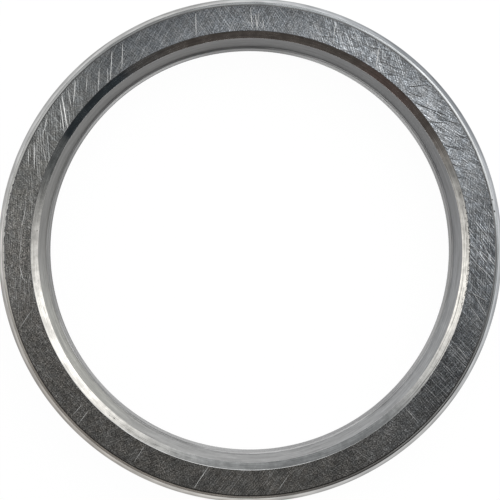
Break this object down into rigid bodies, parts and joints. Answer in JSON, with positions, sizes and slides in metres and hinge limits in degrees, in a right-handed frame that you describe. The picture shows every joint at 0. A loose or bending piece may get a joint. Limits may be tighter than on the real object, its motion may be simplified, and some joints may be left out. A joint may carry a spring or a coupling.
{
  "type": "seamless rolled ring forging",
  "caption": "Seamless rolled steel ring with a stepped bore, a wide chamfer at its mouth, a bevelled outer edge and a scratched front face; it seats a mating ring or cover.",
  "frame": {"origin": "middle of the back face, on the axis of the ring, so that the ring lies flat on it", "axes": "+Z along the axis of the ring, out of the front face; +X to the right and +Y up as the picture shows the front face"},
  "size_m": [0.3, 0.3, 0.04],
  "materials": {
    "steel": "turned bright, with a coarsely scratched front face"
  },
  "bodies": {
    "root": {"rolled_ring": "steel"}
  },
  "joints": []
}
